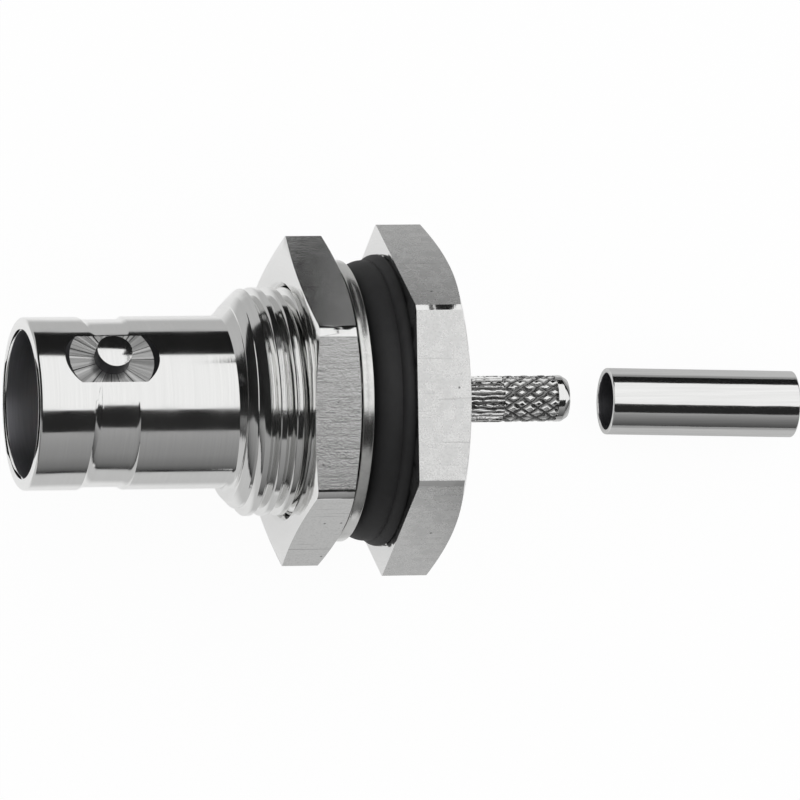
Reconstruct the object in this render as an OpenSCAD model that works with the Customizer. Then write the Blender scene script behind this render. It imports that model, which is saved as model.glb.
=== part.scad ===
// Bulkhead bayonet jack for thin coaxial cable, with its loose crimp ferrule.
// The axis runs along X. X = 0 is the flange face that bears on the panel, the mating mouth
// points to -X and the cable end to +X. The hexagonal flange lies on one of its flats.

/* [Mating barrel] */
// Outside diameter of the bayonet barrel
barrel_dia = 9.6; // [9.4:0.05:9.8]
// Bore that takes the plug's outer contact
mouth_dia = 8.1; // [7.8:0.05:8.3]
// Depth of that bore, from the mouth to the reference plane
mouth_depth = 8.4; // [8:0.1:9]
// Chamfer inside and outside the mouth
mouth_chamfer = 0.18; // [0.05:0.01:0.25]
// Length of the barrel, from the mouth to the shank's shoulder
barrel_len = 11.15; // [10.8:0.05:12]

/* [Bayonet lugs] */
// Diameter of each lug
lug_dia = 2; // [1.8:0.05:2.1]
// Distance over the two lug tips
lug_span = 11; // [10.6:0.05:11.1]
// Distance from the mouth to the lugs' centre
lug_setback = 4.25; // [4:0.05:5]
// Turn of the lugs about the axis, from straight up
lug_angle = 25; // [0:1:90]
// Diameter of the hollow-milled flat around each lug
spotface_dia = 4.76; // [4:0.02:5.2]
// Depth of that flat below the barrel's skin
spotface_depth = 0.24; // [0.1:0.01:0.35]
// Width of the turned groove through the lugs
groove_width = 2.7; // [2.2:0.1:3.4]
// Depth of that groove
groove_depth = 0.2; // [0.1:0.01:0.3]
// Run of the groove's ramps, for each millimetre of depth
groove_slope = 1.5; // [1:0.1:3]

/* [Threaded shank] */
// Major diameter of the thread
thread_dia = 12.7; // [12.3:0.1:13.2]
// Pitch of the thread
thread_pitch = 0.907; // [0.75:0.001:1]
// Length of the shank, from its shoulder to the flange
shank_len = 9.3; // [8.8:0.1:11]
// How much narrower the plain neck between the thread and the flange is than the thread
neck_drop = 1.9; // [1.5:0.1:2.5]
// Length of that neck
neck_len = 2.4; // [2.2:0.1:2.7]

/* [Hexagonal flange] */
// Thickness of the flange
flange_thick = 3.05; // [2.5:0.05:4]
// Angle of the chamfer on the flange's rear corners
flange_chamfer = 21; // [10:1:30]
// Width of the flange face between its sealing recess and its flats
flange_land = 0.35; // [0.3:0.05:1.5]
// Depth of the sealing recess
recess_depth = 0.3; // [0.1:0.05:0.6]

/* [Nut, lock washer and sealing ring] */
// Wall of the nut between its thread and its flats
nut_wall = 1.6; // [1.2:0.1:2]
// Thickness of the nut
nut_thick = 2.6; // [2:0.05:3]
// Turn of the nut about the axis at rest
nut_turn = 6.5; // [-7:0.5:7]
// Angle of the chamfer on the nut's front corners
nut_front_chamfer = 10; // [5:1:30]
// Angle of the chamfer on the nut's rear corners
nut_rear_chamfer = 16; // [5:1:30]
// Length of the lock washer's inner teeth
tooth_len = 0.65; // [0.4:0.05:0.8]
// Thickness of the lock washer's rim
washer_thick = 0.65; // [0.4:0.05:0.8]
// Radial width of the lock washer's rim
washer_rim = 0.8; // [0.6:0.05:0.9]
// Number of inner teeth on the lock washer
tooth_count = 14; // [8:1:16]
// Share of the rim's inner edge that carries teeth
tooth_share = 0.5; // [0.3:0.05:0.6]
// Twist of each tooth
tooth_twist = 10; // [4:1:12]
// Thickness of the sealing ring's round section
seal_section = 2.4; // [2:0.05:2.6]

/* [Cable end] */
// Diameter of the bush pressed into the body
bush_dia = 7; // [6:0.1:7.6]
// Length of that bush inside the body
bush_len = 4.5; // [3.5:0.1:5.5]
// Diameter of the shoulder behind the flange
shoulder_dia = 4.4; // [3.6:0.1:5.5]
// Length of that shoulder
shoulder_len = 1.75; // [1:0.05:2.5]
// Diameter over the knurled crimp stub
stub_dia = 2.6; // [2.3:0.05:2.9]
// Length of the crimp stub
stub_len = 6; // [5.6:0.1:8]
// Length of the diamond knurl
diamond_len = 3.1; // [2:0.1:3.4]
// Length of the plain, chamfered tip
tip_len = 0.7; // [0.5:0.05:0.9]
// Depth of the knurl
knurl_depth = 0.12; // [0.06:0.01:0.15]
// Number of diamonds around the stub
diamond_count = 15; // [12:1:18]
// Number of straight ridges around the stub
ridge_count = 26; // [18:1:30]
// Bore for the cable's insulated core
core_bore = 1.6; // [1.4:0.05:1.8]

/* [Crimp ferrule] */
// Outside diameter of the ferrule
ferrule_dia = 3.76; // [3.6:0.02:4]
// Bore of the ferrule
ferrule_bore = 3.2; // [3:0.05:3.3]
// Length of the ferrule
ferrule_len = 11; // [9:0.5:14]
// Free distance between the stub's tip and the loose ferrule
ferrule_gap = 4.2; // [1:0.1:10]
// Turn of the loose ferrule on the surface that it lies on
ferrule_turn = 1.5; // [0:0.1:5]

/* [Insulators] */
// Diameter of the insulator's nose inside the mouth
nose_dia = 4.8; // [4.5:0.05:5]
// Depth of the nose's face behind the mouth
nose_setback = 3.3; // [2.8:0.1:4]
// Thickness of the web that separates the mouth from the rear bore
web_thick = 1.6; // [1:0.1:2]
// Length of the front insulator's collar behind the web
collar_len = 2.3; // [1.5:0.1:3]
// Bore of the nose around the socket
nose_bore = 2.3; // [2.2:0.05:2.5]

/* [Centre contact] */
// Outside diameter of the socket
socket_dia = 2.1; // [1.9:0.05:2.15]
// Bore of the socket
socket_bore = 1.38; // [1.34:0.01:1.42]
// Depth of the socket's bore
socket_depth = 5; // [4:0.1:6]
// Width of each slot between the socket's four fingers
finger_slot = 0.24; // [0.15:0.01:0.25]
// Length of those slots
finger_len = 3.6; // [2.5:0.1:3.9]
// Diameter of the contact's collar, held between the insulators
contact_collar_dia = 3.2; // [2.8:0.1:4]
// Thickness of that collar
contact_collar_len = 0.6; // [0.4:0.05:1]
// Diameter of the solder cup behind the collar
cup_dia = 1.5; // [1.2:0.05:1.55]
// Length of the solder cup
cup_len = 3.4; // [2:0.1:4]
// Bore of the solder cup
cup_bore = 0.6; // [0.4:0.05:0.8]

/* [Clearances] */
// Radial clearance of fixed pieces in their seats
seat_gap = 0.02; // [0.01:0.01:0.04]
// Radial clearance of the rear insulator around the solder cup
cup_gap = 0.25; // [0.2:0.01:0.3]
// Radial clearance of the nut over the thread
thread_gap = 0.05; // [0.03:0.01:0.1]
// Radial clearance of the sealing ring in its recess
recess_gap = 0.33; // [0.2:0.01:0.5]
// Axial gap between pieces that only touch
touch_gap = 0.02; // [0.01:0.01:0.04]

/* [Hidden] */
$fn = 96;

nickel = "#c4c5c6";
rubber = "#232325";
ptfe = "#f1f0ea";
gold = "#d9b45b";
bronze = "#d2d2d0";

eps = 0.01;                                   // overlap that keeps cuts clean
past = 1;                                     // how far a cut runs out beyond the piece

// Stations along the axis
mouth_x = -shank_len - barrel_len;
shoulder_x = -shank_len;
lug_x = mouth_x + lug_setback;
reference_x = mouth_x + mouth_depth;          // bottom of the mouth
rear_bore_x = reference_x + web_thick;
flange_rear_x = flange_thick;
stub_x = flange_rear_x + shoulder_len;
stub_tip_x = stub_x + stub_len;
ferrule_x = stub_tip_x + ferrule_gap;

// Thread form, 60 degrees between its flanks
thread_depth = 0.6134 * thread_pitch;
thread_r = thread_dia / 2;
root_r = thread_r - thread_depth;
thread_end_x = -neck_len;
flank = thread_depth * tan(30);
crest_flat = thread_pitch / 8;
root_flat = thread_pitch - 2 * flank - crest_flat;
thread_turns = floor((shank_len - neck_len) / thread_pitch) + 1;

// Flange round the sealing ring, which sits on the neck
neck_dia = thread_dia - neck_drop;
seal_r = seal_section / 2;
seal_ring_r = neck_dia / 2 + seat_gap + seal_r;
recess_dia = 2 * (seal_ring_r + seal_r + recess_gap);
flange_flats = recess_dia + 2 * flange_land;

// Sealing ring, washer and nut, each against the one before it
seal_x = recess_depth - touch_gap - seal_r;
washer_teeth_r = thread_r + thread_gap;
washer_rim_r = washer_teeth_r + tooth_len;
washer_dia = 2 * (washer_rim_r + washer_rim);
tooth_pitch = 360 / tooth_count;
tooth_width = 2 * PI * washer_rim_r / tooth_count * tooth_share;
tooth_rise = tooth_width / 2 * sin(tooth_twist);
washer_rear_x = seal_x - seal_r - touch_gap - tooth_rise;
nut_rear_x = washer_rear_x - washer_thick - tooth_rise - touch_gap;
nut_bore_r = thread_r + thread_gap;
nut_flats = 2 * (nut_bore_r + nut_wall);

// Pieces inside the rear bore
bush_front_x = flange_rear_x - bush_len;
rear_bore_r = bush_dia / 2 + seat_gap;
collar_rear_x = rear_bore_x + collar_len;
contact_collar_rear_x = collar_rear_x + contact_collar_len;
contact_front_x = mouth_x + nose_setback + 0.1;

// A turned piece: the outline's points are [radius, station along the axis]
module turned(outline) {
    rotate([0, 90, 0]) rotate_extrude() polygon(outline);
}

// A plain turned length, solid or bored
module turned_bar(from_x, to_x, radius) {
    translate([from_x, 0, 0]) rotate([0, 90, 0]) cylinder(r = radius, h = to_x - from_x);
}

// A hexagonal bar with two of its flats level
module hex_bar(from_x, to_x, flats) {
    translate([from_x, 0, 0]) rotate([0, 90, 0]) rotate(30)
        cylinder(d = flats / cos(30), h = to_x - from_x, $fn = 6);
}

// Hexagon whose corners are turned back at each end, by angles measured from the end face
module chamfered_hex(from_x, to_x, flats, front_angle, rear_angle) {
    flat_r = flats / 2;
    rim = flat_r * 0.2;
    intersection() {
        hex_bar(from_x, to_x, flats);
        turned([[0, from_x - eps], [flat_r, from_x],
                [flat_r + rim, from_x + rim * tan(front_angle)],
                [flat_r + rim, to_x - rim * tan(rear_angle)],
                [flat_r, to_x], [0, to_x + eps]]);
    }
}

// Ridges of the thread, drawn as rings, that fade into the chamfer at the shoulder
module thread_rings() {
    starts = [for (i = [0 : thread_turns - 1]) thread_end_x - i * thread_pitch];
    ridges = [for (s = starts)
        each [[root_r, s], [root_r, s - root_flat / 2],
              [thread_r, s - root_flat / 2 - flank],
              [thread_r, s - root_flat / 2 - flank - crest_flat],
              [root_r, s - root_flat / 2 - 2 * flank - crest_flat]]];
    front_x = thread_end_x - thread_turns * thread_pitch;
    lead_in = 0.35;                           // how far the chamfer reaches below the roots
    full_x = shoulder_x + thread_depth + lead_in;
    intersection() {
        turned(concat([[0, thread_end_x]], ridges, [[root_r, front_x], [0, front_x]]));
        turned([[0, shoulder_x], [root_r - lead_in, shoulder_x], [thread_r, full_x],
                [thread_r + past, full_x], [thread_r + past, thread_end_x], [0, thread_end_x]]);
    }
}

// Barrel and neck, with the groove through the lugs and the fillet at the shoulder
module barrel_and_neck() {
    r = barrel_dia / 2;
    low = r - groove_depth;
    ramp = groove_depth * groove_slope;
    g1 = lug_x - groove_width / 2;
    g2 = lug_x + groove_width / 2;
    fillet = 0.35;
    turned(concat(
        [[0, mouth_x], [r - mouth_chamfer, mouth_x], [r, mouth_x + mouth_chamfer],
         [r, g1], [low, g1 + ramp], [low, g2 - ramp], [r, g2]],
        [for (a = [0 : 15 : 90])
            [r + fillet * (1 - cos(a)), shoulder_x - fillet + fillet * sin(a)]],
        [[neck_dia / 2, shoulder_x + eps], [neck_dia / 2, recess_depth + eps],
         [0, recess_depth + eps]]));
}

// A milled lug, tipped by the barrel's own turning
module lug() {
    spot_r = barrel_dia / 2 - spotface_depth;
    root = 0.3;                               // how far the lug reaches into the barrel's wall
    translate([lug_x, 0, spot_r - root]) cylinder(d = lug_dia, h = lug_span / 2 - spot_r + 2 * root);
}

// The hollow mill's flat around a lug
module spotface_cut() {
    translate([lug_x, 0, barrel_dia / 2 - spotface_depth]) cylinder(d = spotface_dia, h = lug_span);
}

module flange_solid() {
    difference() {
        chamfered_hex(0, flange_rear_x, flange_flats, 0, flange_chamfer);
        turned([[neck_dia / 2, -past], [recess_dia / 2, -past],
                [recess_dia / 2, recess_depth], [neck_dia / 2, recess_depth]]);
    }
}

module body_shell() {
    r = mouth_dia / 2;
    color(nickel) difference() {
        union() {
            difference() {
                barrel_and_neck();
                for (side = [0, 180]) rotate([side - lug_angle, 0, 0]) spotface_cut();
            }
            intersection() {
                for (side = [0, 180]) rotate([side - lug_angle, 0, 0]) lug();
                turned_bar(mouth_x, 0, lug_span / 2);
            }
            thread_rings();
            flange_solid();
        }
        turned([[0, mouth_x - past], [r + mouth_chamfer + past, mouth_x - past],
                [r + mouth_chamfer, mouth_x], [r, mouth_x + mouth_chamfer],
                [r, reference_x], [nose_dia / 2 + seat_gap, reference_x],
                [nose_dia / 2 + seat_gap, rear_bore_x], [rear_bore_r, rear_bore_x],
                [rear_bore_r, flange_rear_x + past], [0, flange_rear_x + past]]);
    }
}

// Insulator with its nose in the mouth and its collar behind the web
module front_insulator() {
    nose_x = mouth_x + nose_setback;
    edge = 0.15;
    color(ptfe) difference() {
        turned([[0, nose_x], [nose_dia / 2 - edge, nose_x], [nose_dia / 2, nose_x + edge],
                [nose_dia / 2, rear_bore_x + touch_gap],
                [bush_dia / 2, rear_bore_x + touch_gap],
                [bush_dia / 2, collar_rear_x], [0, collar_rear_x]]);
        turned_bar(nose_x - past, collar_rear_x + past, nose_bore / 2);
    }
}

// Socket with four fingers, a collar and a solder cup
module centre_contact() {
    lead = 0.2;
    collar_x = collar_rear_x + touch_gap;
    collar_end_x = contact_collar_rear_x - touch_gap;
    cup_end_x = collar_end_x + cup_len;
    color(gold) difference() {
        turned([[0, contact_front_x], [socket_dia / 2 - lead, contact_front_x],
                [socket_dia / 2, contact_front_x + lead], [socket_dia / 2, collar_x],
                [contact_collar_dia / 2, collar_x], [contact_collar_dia / 2, collar_end_x],
                [cup_dia / 2, collar_end_x], [cup_dia / 2, cup_end_x], [0, cup_end_x]]);
        turned_bar(contact_front_x - past, contact_front_x + socket_depth, socket_bore / 2);
        for (turn = [45, 135]) rotate([turn, 0, 0])
            translate([contact_front_x - past, -finger_slot / 2, -socket_dia])
                cube([finger_len + past, finger_slot, 2 * socket_dia]);
        turned_bar(cup_end_x - cup_len * 0.7, cup_end_x + past, cup_bore / 2);
        // Side window through which the solder joint is seen
        translate([cup_end_x - cup_len * 0.35, 0, 0]) cylinder(d = cup_bore * 0.8, h = cup_dia);
    }
}

// Insulating bush between the contact's collar and the pressed bush
module rear_insulator() {
    color(ptfe) difference() {
        turned_bar(contact_collar_rear_x, bush_front_x - touch_gap, bush_dia / 2);
        turned_bar(contact_collar_rear_x - past, bush_front_x + past, cup_dia / 2 + cup_gap);
    }
}

// Outline of a ridged bar, with v grooves between its ridges
module ridged_outline(radius, depth, count) {
    polygon([for (i = [0 : 2 * count - 1])
        let (r = radius - depth * (i % 2), a = i * 180 / count) [r * cos(a), r * sin(a)]]);
}

// Bar with straight ridges along it
module ridged_bar(from_x, to_x, radius) {
    translate([from_x, 0, 0]) rotate([0, 90, 0]) linear_extrude(to_x - from_x)
        ridged_outline(radius, knurl_depth, ridge_count);
}

// Diamond knurl at 45 degrees: rows of small pyramids, each half a pitch on from the row before
module diamond_bar(from_x, to_x, radius) {
    ring = 2 * diamond_count;
    rows = 2 * round((to_x - from_x) * diamond_count / (2 * PI * radius));
    points = [for (j = [0 : rows], i = [0 : ring - 1])
        let (crest = (i + j) % 2 == 1 && j > 0 && j < rows,
             r = crest ? radius : radius - knurl_depth,
             a = i * 360 / ring)
        [from_x + (to_x - from_x) * j / rows, r * cos(a), r * sin(a)]];
    ends = [[for (i = [0 : ring - 1]) i],
            [for (i = [ring - 1 : -1 : 0]) rows * ring + i]];
    sides = [for (j = [0 : rows - 1], i = [0 : ring - 1])
        let (p = j * ring + i, q = j * ring + (i + 1) % ring)
        each (i + j) % 2 == 0 ? [[p, q + ring, q], [p, p + ring, q + ring]]
                              : [[p, p + ring, q], [p + ring, q + ring, q]]];
    polyhedron(points, concat(ends, sides));
}

// Bush pressed into the rear of the body, with a shoulder and the knurled stub for the braid
module crimp_stub() {
    r = stub_dia / 2;
    chamfer = tip_len / 2;
    edge = 0.25;
    plain_x = stub_tip_x - tip_len;
    diamond_x = plain_x - diamond_len;
    color(nickel) difference() {
        union() {
            turned([[0, bush_front_x], [bush_dia / 2 - edge, bush_front_x],
                    [bush_dia / 2, bush_front_x + edge], [bush_dia / 2, flange_rear_x],
                    [shoulder_dia / 2, flange_rear_x], [shoulder_dia / 2, stub_x - edge],
                    [shoulder_dia / 2 - edge, stub_x], [0, stub_x]]);
            ridged_bar(stub_x - edge, diamond_x, r);
            diamond_bar(diamond_x, plain_x + eps, r);
            turned([[0, plain_x], [r, plain_x], [r, stub_tip_x - chamfer],
                    [r - chamfer * 0.6, stub_tip_x], [0, stub_tip_x]]);
        }
        turned_bar(bush_front_x - past, stub_tip_x + past, core_bore / 2);
    }
}

// Round-section rubber ring on the neck
module sealing_ring() {
    color(rubber) translate([seal_x, 0, 0]) rotate([0, 90, 0])
        rotate_extrude() translate([seal_ring_r, 0]) circle(r = seal_r);
}

// Flat ring with twisted inner teeth
module lock_washer() {
    front_x = washer_rear_x - washer_thick;
    mid_x = washer_rear_x - washer_thick / 2;
    color(bronze) union() {
        difference() {
            turned_bar(front_x, washer_rear_x, washer_dia / 2);
            turned_bar(front_x - past, washer_rear_x + past, washer_rim_r);
        }
        difference() {
            for (i = [0 : tooth_count - 1]) rotate([i * tooth_pitch, 0, 0])
                translate([mid_x, 0, washer_teeth_r - 0.2]) rotate([0, 0, tooth_twist])
                    translate([-washer_thick / 2, -tooth_width / 2, 0])
                        cube([washer_thick, tooth_width, washer_rim_r - washer_teeth_r + 0.3]);
            turned_bar(front_x - past, washer_rear_x + past, washer_teeth_r);
        }
    }
}

module hex_nut() {
    front_x = nut_rear_x - nut_thick;
    lead = thread_depth;
    color(nickel) rotate([nut_turn, 0, 0]) difference() {
        chamfered_hex(front_x, nut_rear_x, nut_flats, nut_front_chamfer, nut_rear_chamfer);
        turned([[0, front_x - past], [nut_bore_r + lead / 2 + past, front_x - past],
                [nut_bore_r + lead / 2, front_x], [nut_bore_r, front_x + lead / 2],
                [nut_bore_r, nut_rear_x - lead / 2], [nut_bore_r + lead / 2, nut_rear_x],
                [nut_bore_r + lead / 2 + past, nut_rear_x + past], [0, nut_rear_x + past]]);
    }
}

// Plain tube, lying on the surface that the flange rests on
module crimp_ferrule() {
    wall = (ferrule_dia - ferrule_bore) / 2;
    edge = wall * 0.4;
    r = ferrule_dia / 2;
    color(nickel) translate([ferrule_x, 0, r - flange_flats / 2]) rotate([0, 0, -ferrule_turn])
        difference() {
            turned([[0, 0], [r - edge, 0], [r, edge],
                    [r, ferrule_len - edge], [r - edge, ferrule_len], [0, ferrule_len]]);
            turned_bar(-past, ferrule_len + past, ferrule_bore / 2);
        }
}

body_shell();
front_insulator();
centre_contact();
rear_insulator();
crimp_stub();
sealing_ring();
lock_washer();
hex_nut();
crimp_ferrule();
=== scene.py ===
"""Finished pieces of a bulkhead bayonet jack with its loose crimp ferrule, built round its packed frame."""

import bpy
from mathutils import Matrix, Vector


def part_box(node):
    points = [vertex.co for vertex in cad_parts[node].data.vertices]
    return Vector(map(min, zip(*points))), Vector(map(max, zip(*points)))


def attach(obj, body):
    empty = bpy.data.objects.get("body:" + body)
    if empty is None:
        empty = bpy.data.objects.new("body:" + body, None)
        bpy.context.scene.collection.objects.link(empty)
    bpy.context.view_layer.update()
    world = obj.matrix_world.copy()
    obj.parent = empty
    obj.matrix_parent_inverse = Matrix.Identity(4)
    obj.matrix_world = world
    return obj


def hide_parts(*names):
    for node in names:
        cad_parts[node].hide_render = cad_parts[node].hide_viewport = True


bl_info = {
    "name": "Bulkhead Bayonet Jack",
    "version": (1, 0, 0),
    "blender": (4, 5, 0),
    "location": "View3D > Sidebar > Bayonet Jack",
    "description": "Models the turned, milled and moulded pieces of a panel jack and lights them",
    "category": "Add Mesh",
}

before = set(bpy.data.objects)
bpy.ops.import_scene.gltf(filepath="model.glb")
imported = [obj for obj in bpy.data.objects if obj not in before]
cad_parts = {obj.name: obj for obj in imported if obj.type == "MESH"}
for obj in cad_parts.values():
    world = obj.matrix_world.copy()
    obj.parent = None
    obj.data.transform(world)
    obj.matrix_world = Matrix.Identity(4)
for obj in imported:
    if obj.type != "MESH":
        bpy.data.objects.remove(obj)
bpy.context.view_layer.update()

import math

import bmesh
import bpy
from bpy.props import FloatProperty, FloatVectorProperty, IntProperty, PointerProperty
from mathutils import Euler, Matrix, Vector, noise

MM = 0.001
TURN = 2 * math.pi
TOUCHING = 1e-7                # vertices closer than this, in metres, are one
CORNER_REACH = 0.2             # how far past a bar's flats its turned corners are drawn, as a share of them
BAR_EDGE = 17                  # bar edges sharper than this, in degrees, get the knocked, painted-shade edge

# Corners of the frame's own pieces, from which the finished ones take their places
SHELL_LOW, SHELL_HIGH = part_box("body_shell")
NUT_LOW, NUT_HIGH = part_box("hex_nut")
WASHER_LOW, WASHER_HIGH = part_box("lock_washer")
SEAL_LOW, SEAL_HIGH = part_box("sealing_ring")
STUB_LOW, STUB_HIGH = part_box("crimp_stub")
FERRULE_LOW, FERRULE_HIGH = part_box("crimp_ferrule")
NOSE_LOW, NOSE_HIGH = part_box("front_insulator")
BUSH_LOW, BUSH_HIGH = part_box("rear_insulator")
CONTACT_LOW, CONTACT_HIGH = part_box("centre_contact")
MOUTH = SHELL_LOW.x
FLANGE_REAR = SHELL_HIGH.x
FLOOR = SHELL_LOW.z


def length(label, text, millimetres):
    """A size property, given in millimetres and kept in metres"""
    return FloatProperty(name=label, description=text, default=millimetres * MM, unit="LENGTH", precision=5)


def angle(label, text, degrees):
    """An angle property, given in degrees and kept in radians"""
    return FloatProperty(name=label, description=text, default=math.radians(degrees), unit="ROTATION")


def colour(label, text, code):
    """A colour property, given as an sRGB hex value"""
    return FloatVectorProperty(name=label, description=text, default=linear(code), subtype="COLOR", size=3,
                               min=0.0, max=1.0)


def brightness(label, text, level):
    """A property for the light of a card, where 1 is white"""
    return FloatProperty(name=label, description=text, default=level, min=0.0)


def linear(code):
    """Turns an sRGB hex value to linear light"""
    values = [int(code[i:i + 2], 16) / 255 for i in (1, 3, 5)]
    return [v / 12.92 if v <= 0.04045 else ((v + 0.055) / 1.055) ** 2.4 for v in values]


class JackSizes(bpy.types.PropertyGroup):
    """Sizes of the jack's turned and milled body"""
    barrel_radius: length("Barrel radius", "Outside radius of the mating barrel", 4.8)
    mouth_radius: length("Mouth radius", "Radius of the bore that takes the plug", 4.05)
    mouth_depth: length("Mouth depth", "Depth of that bore", 8.4)
    mouth_edge: length("Mouth edge", "Chamfer at the mouth, inside and outside", 0.11)
    lug_setback: length("Lug setback", "Distance from the mouth to the lugs", 4.25)
    lug_radius: length("Lug radius", "Radius of each bayonet lug", 1.0)
    lug_reach: length("Lug reach", "Distance from the axis to a lug's tip", 5.5)
    lug_angle: angle("Lug angle", "Turn of the lugs about the axis, from straight up", 30.5)
    spot_radius: length("Milled flat radius", "Radius of the flat milled round each lug", 2.38)
    spot_reach: length("Milled flat height", "Distance from the axis to that flat", 4.56)
    spot_wall: length("Milled wall land", "Skin left between the milled flat and the groove's end", 0.02)
    groove_width: length("Groove width", "Greatest width of the grooves turned between the lugs", 2.8)
    groove_depth: length("Groove depth", "Depth of those grooves midway between the lugs", 0.2)
    spot_flare: FloatProperty(name="Milled wall flare", default=1.2,
                              description="Widening of the milled wall with its height")
    groove_shift: length("Groove shift", "How far the grooves lie behind the lugs' middle", 0.1)
    groove_front: length("Groove front corner", "Corner radius of the groove on the mouth's side", 1.0)
    groove_rear: length("Groove rear corner", "Corner radius of the groove on the shank's side", 0.45)
    shoulder: length("Shoulder station", "Where the shank's shoulder stands on the axis", -8.85)
    shoulder_radius: length("Shoulder radius", "Radius at which the shank's chamfer starts", 5.44)
    fillet: length("Shoulder fillet", "Radius of the fillet between barrel and shoulder", 0.35)
    thread_radius: length("Thread radius", "Major radius of the shank's thread", 6.35)
    thread_pitch: length("Thread pitch", "Distance between turns of the thread", 0.907)
    thread_crest: length("Thread crest", "Width of the flat on the thread's crest", 0.33)
    thread_root: length("Thread root", "Width of the flat at the thread's root", 0.06)
    neck_radius: length("Neck radius", "Radius of the plain neck behind the thread", 5.4)
    neck_length: length("Neck length", "Length of that neck", 2.4)
    recess_radius: length("Recess radius", "Radius of the sealing recess in the flange", 8.15)
    recess_depth: length("Recess depth", "Depth of the sealing recess", 0.3)
    flange_chamfer: angle("Flange chamfer", "Angle of the chamfer on the flange's rear corners", 21)
    flange_edge: length("Flange edge", "Setback of the chamfer on the long edges beside the level flats", 0.2)
    web: length("Web", "Thickness of the web between the mouth and the rear bore", 1.6)
    web_bore: length("Web bore radius", "Radius of the hole through that web", 2.42)
    rear_bore: length("Rear bore radius", "Radius of the bore that takes the insulators and the bush", 3.52)
    broken_edge: length("Broken edge", "Width to which sharp edges are broken", 0.05)
    segments: IntProperty(name="Segments", description="Steps of each full turn", default=160, min=48)


class FastenerSizes(bpy.types.PropertyGroup):
    """Sizes of the panel nut, the lock washer and the sealing ring"""
    nut_flats: length("Nut flats", "Width of the nut across its flats", 16)
    nut_bore: length("Nut bore radius", "Radius of the nut's bore, over the thread", 6.4)
    nut_turn: angle("Nut turn", "Turn of the nut about the axis at rest", 6.5)
    nut_front: angle("Nut front chamfer", "Angle of the chamfer on the nut's front corners", 10)
    nut_rear: angle("Nut rear chamfer", "Angle of the chamfer on the nut's rear corners", 16)
    nut_edge: length("Nut edge", "Setback of the rounding on the nut's near and far long edges", 0.4)
    nut_side_edge: length("Nut side edge", "Setback of the rounding on the nut's two side edges", 0.08)
    nut_lead: length("Nut lead-in", "Chamfer at both ends of the nut's bore", 0.28)
    washer_rim: length("Washer rim", "Radial width of the washer's plain rim", 0.8)
    washer_thick: length("Washer thickness", "Thickness of the washer's rim", 0.65)
    tooth_count: IntProperty(name="Washer teeth", description="Number of twisted inner teeth", default=14,
                             min=6)
    tooth_width: length("Tooth width", "Width of each tooth", 1.58)
    tooth_twist: angle("Tooth twist", "Twist of each tooth", 10)
    seal_section: length("Seal section", "Radius of the sealing ring's round section", 1.2)
    seal_lip: length("Seal lip", "How far the ring's outer bead stands out beyond its round part", 0.31)
    seal_bead: length("Seal bead", "Radius of that bead, which lies in the flange's recess", 0.475)


class CableEndSizes(bpy.types.PropertyGroup):
    """Sizes of the crimp stub and of the loose ferrule"""
    bush_radius: length("Bush radius", "Radius of the bush pressed into the body", 3.5)
    shoulder_radius: length("Stub shoulder radius", "Radius of the shoulder behind the flange", 2.2)
    shoulder_length: length("Stub shoulder length", "Length of that shoulder", 1.75)
    stub_radius: length("Stub radius", "Radius over the knurl", 1.3)
    core_bore: length("Core bore radius", "Radius of the bore for the cable's core", 0.8)
    tip: length("Plain tip", "Length of the stub's plain tip", 0.7)
    diamonds: length("Diamond knurl", "Length of the diamond knurl", 3.1)
    knurl_depth: length("Knurl depth", "Depth of the knurl", 0.15)
    diamond_count: IntProperty(name="Diamonds", description="Diamonds round the stub", default=12, min=8)
    diamond_length: length("Diamond length", "Distance between diamonds along the stub", 0.95)
    ridge_count: IntProperty(name="Ridges", description="Straight ridges round the stub", default=28, min=8)
    ferrule_radius: length("Ferrule radius", "Outside radius of the ferrule", 1.88)
    ferrule_bore: length("Ferrule bore radius", "Radius of the ferrule's bore", 1.6)
    ferrule_length: length("Ferrule length", "Length of the ferrule", 11)
    ferrule_turn: angle("Ferrule turn", "Turn of the loose ferrule on the table", 1.5)


class InnerSizes(bpy.types.PropertyGroup):
    """Sizes of the insulators and of the centre contact"""
    nose_radius: length("Nose radius", "Radius of the insulator's nose in the mouth", 2.4)
    nose_bore: length("Nose bore radius", "Radius of the bore round the socket", 1.15)
    bush_bore: length("Rear insulator bore", "Radius of the rear insulator's bore", 1.0)
    socket_radius: length("Socket radius", "Outside radius of the socket", 1.05)
    socket_bore: length("Socket bore radius", "Radius of the socket's bore", 0.69)
    socket_depth: length("Socket depth", "Depth of the socket's bore", 5)
    finger_slot: length("Finger slot", "Width of the slots between the fingers", 0.24)
    finger_length: length("Finger length", "Length of those slots", 3.6)
    collar_radius: length("Collar radius", "Radius of the contact's collar", 1.6)
    collar_length: length("Collar length", "Thickness of that collar", 0.56)
    cup_radius: length("Cup radius", "Outside radius of the solder cup", 0.75)
    cup_length: length("Cup length", "Length of the solder cup", 3.4)
    cup_bore: length("Cup bore radius", "Radius of the solder cup's bore", 0.3)


class Finishes(bpy.types.PropertyGroup):
    """Colours of the finishes"""
    nickel: colour("Nickel", "Bright nickel plate on turned brass", "#eaeae9")
    bar_nickel: colour("Nickel on bar", "Nickel plate on the drawn flats of hexagonal bar", "#dcdcdb")
    # painted shade: this dark colour stands in for the shade inside the bores
    bore_nickel_painted_shade: colour("Nickel in bores", "Thin, dull nickel plate inside the bores", "#86868a")
    # painted shade: this dark colour on the milled walls and the lugs' walls stands in for the shade there
    wall_shade_nickel: colour("Stained nickel", "Nickel plate in corners that polishing can't reach", "#4a4a4c")
    spring_nickel: colour("Nickel on spring bronze", "Nickel plate on the lock washer", "#e2e2e0")
    rubber: colour("Rubber", "Black moulded rubber", "#222223")
    fluoropolymer: colour("Fluoropolymer", "White waxy insulator", "#efeeea")
    gold: colour("Gold", "Gold plate on the centre contact", "#e2bd62")


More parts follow.
